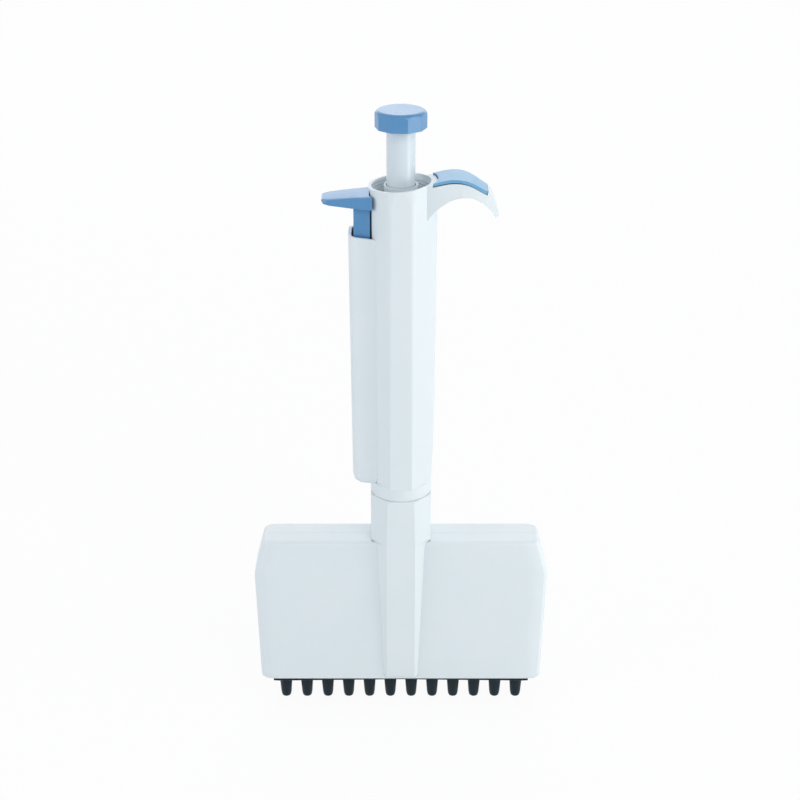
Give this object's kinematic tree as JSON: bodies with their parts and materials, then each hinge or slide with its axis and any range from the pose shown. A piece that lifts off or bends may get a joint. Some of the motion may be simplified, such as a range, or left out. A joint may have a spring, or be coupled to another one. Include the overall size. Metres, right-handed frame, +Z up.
{
  "type": "multichannel pipette",
  "caption": "Hand-held adjustable pipette with a row of tip cones in a wide swivelling head, a plunger with a faceted knob, a side ejector button and a finger hook.",
  "frame": {"origin": "in the plane of the tip cones' ends, on the plunger's axis, at the middle of the row of cones", "axes": "+Z up along the plunger's axis, X along the row of cones with the finger hook towards +X, Y through the head's thickness with the counter's window towards +Y"},
  "size_m": [0.1208, 0.025, 0.258],
  "materials": {
    "white_housing": "satin moulded",
    "white_tube": "gloss moulded",
    "white_inner": "matt moulded",
    "blue_plastic": "satin moulded",
    "blue_inlay": "soft matt",
    "black_plastic": "satin moulded",
    "grey_plastic": "matt moulded",
    "clear_window": "clear gloss",
    "steel": "turned",
    "brass": "turned"
  },
  "bodies": {
    "handle": {"handle_shell": "white_housing", "hook_inlay": "blue_inlay", "ejector_side_cover": "white_housing", "swivel_collar": "white_housing", "top_guide": "white_inner", "counter_window": "clear_window", "counter_cage": "grey_plastic", "volume_nut": "brass", "spring_seat": "steel", "stop_washer": "steel", "blowout_spring": "steel", "plunger_spring": "steel", "ejector_spring": "steel"},
    "plunger": {"push_rod": "steel", "rod_stop_collar": "brass"},
    "knob_and_tube": {"knob": "blue_plastic", "plunger_tube": "white_tube"},
    "screw": {"volume_screw": "brass"},
    "units_ring": {"digit_ring_1": "white_inner"},
    "tens_ring": {"digit_ring_2": "white_inner"},
    "hundreds_ring": {"digit_ring_3": "white_inner"},
    "calibration": {"calibration_ring": "grey_plastic"},
    "ejector": {"ejector_button": "blue_plastic", "ejector_rod": "steel", "ejector_link": "grey_plastic"},
    "head": {"neck_spine": "white_housing", "swivel_bush": "brass", "head_front_cover": "white_housing", "head_rear_cover": "white_housing", "cone_base": "grey_plastic", "seal_retainer": "grey_plastic", "tip_cone_01": "black_plastic", "tip_cone_02": "black_plastic", "tip_cone_03": "black_plastic", "tip_cone_04": "black_plastic", "tip_cone_05": "black_plastic", "tip_cone_06": "black_plastic", "tip_cone_07": "black_plastic", "tip_cone_08": "black_plastic", "tip_cone_09": "black_plastic", "tip_cone_10": "black_plastic", "tip_cone_11": "black_plastic", "tip_cone_12": "black_plastic"},
    "piston_bar": {"piston_carriage": "grey_plastic", "piston_01": "steel", "piston_02": "steel", "piston_03": "steel", "piston_04": "steel", "piston_05": "steel", "piston_06": "steel", "piston_07": "steel", "piston_08": "steel", "piston_09": "steel", "piston_10": "steel", "piston_11": "steel", "piston_12": "steel"},
    "tip_stripper": {"ejector_plate": "black_plastic", "ejector_bridge": "black_plastic", "ejector_leg_left": "black_plastic", "ejector_leg_right": "black_plastic"}
  },
  "joints": [
    {"name": "plunger_press", "type": "slide", "parent": "handle", "child": "plunger", "axis": [0, 0, -1], "range_m": [0, 0.015], "stiffness_N_per_m": 500, "springref_m": -0.008, "deforming": ["plunger_spring"]},
    {"name": "knob_turn", "type": "hinge", "parent": "plunger", "child": "knob_and_tube", "pos_m": [0, 0, 0.25135], "axis": [0, 0, 1], "continuous": true},
    {"name": "screw_turn", "type": "hinge", "parent": "handle", "child": "screw", "pos_m": [0, 0, 0.15905], "axis": [0, 0, 1], "continuous": true},
    {"name": "units_turn", "type": "hinge", "parent": "handle", "child": "units_ring", "pos_m": [0, 0, 0.19435], "axis": [0, 0, 1], "continuous": true},
    {"name": "tens_turn", "type": "hinge", "parent": "handle", "child": "tens_ring", "pos_m": [0, 0, 0.19905], "axis": [0, 0, 1], "continuous": true},
    {"name": "hundreds_turn", "type": "hinge", "parent": "handle", "child": "hundreds_ring", "pos_m": [0, 0, 0.20375], "axis": [0, 0, 1], "continuous": true},
    {"name": "calibration_turn", "type": "hinge", "parent": "handle", "child": "calibration", "pos_m": [0, 0, 0.21055], "axis": [0, 0, 1], "range_deg": [-90, 90]},
    {"name": "ejector_press", "type": "slide", "parent": "handle", "child": "ejector", "axis": [0, 0, -1], "range_m": [0, 0.008], "stiffness_N_per_m": 400, "springref_m": -0.006, "deforming": ["ejector_spring"]},
    {"name": "head_swivel", "type": "hinge", "parent": "handle", "child": "head", "pos_m": [0, 0, 0.10135], "axis": [0, 0, 1], "continuous": true},
    {"name": "piston_slide", "type": "slide", "parent": "head", "child": "piston_bar", "axis": [0, 0, -1], "range_m": [0, 0.015]},
    {"name": "stripper_slide", "type": "slide", "parent": "head", "child": "tip_stripper", "axis": [0, 0, -1], "range_m": [0, 0.008]}
  ],
  "couplings": [
    {"joint": "screw_turn", "follows": "knob_turn", "ratio": 1},
    {"joint": "units_turn", "follows": "knob_turn", "ratio": 1},
    {"joint": "tens_turn", "follows": "knob_turn", "ratio": 0.1},
    {"joint": "hundreds_turn", "follows": "knob_turn", "ratio": 0.01},
    {"joint": "piston_slide", "follows": "plunger_press", "ratio": 1},
    {"joint": "stripper_slide", "follows": "ejector_press", "ratio": 1}
  ]
}
